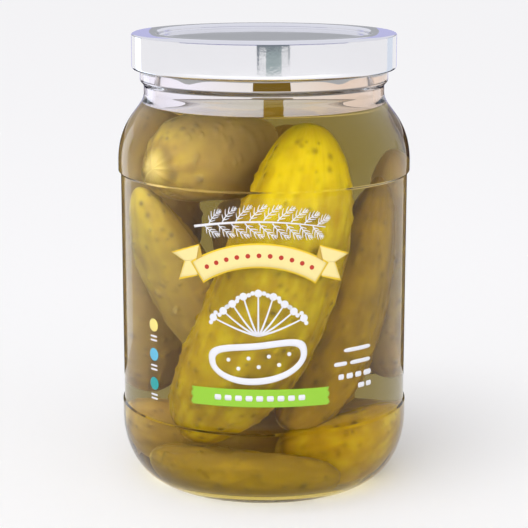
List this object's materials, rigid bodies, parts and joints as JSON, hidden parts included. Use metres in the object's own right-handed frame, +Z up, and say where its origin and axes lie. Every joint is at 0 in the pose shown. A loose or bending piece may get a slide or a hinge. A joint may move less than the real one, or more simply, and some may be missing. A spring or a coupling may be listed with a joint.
{
  "type": "pickle jar",
  "caption": "Clear glass jar of whole dill pickles in brine, with a recessed panel for a clear printed film, a rounded heel and shoulder and a metal twist-off lid.",
  "frame": {"origin": "middle of the base, on the surface the jar stands on", "axes": "+Z up along the jar's axis, -Y towards the front of the print, +X to the right as seen from the front"},
  "size_m": [0.0816, 0.0816, 0.127],
  "materials": {
    "glass": "clear, glossy",
    "brine": "slightly cloudy olive-yellow liquid with pickles in it",
    "film": "clear film with opaque printed fields",
    "lid_metal": "bright lacquered tinplate",
    "pickle_skin": "wet, bumpy olive-yellow skin with darker specks, seen in the brine",
    "print_ink": "opaque ink in plain fields of white, cream, gold, green, yellow, blue and teal"
  },
  "bodies": {
    "root": {"jar": "glass", "brine": "brine", "label": "film", "lid": "lid_metal"}
  },
  "joints": []
}
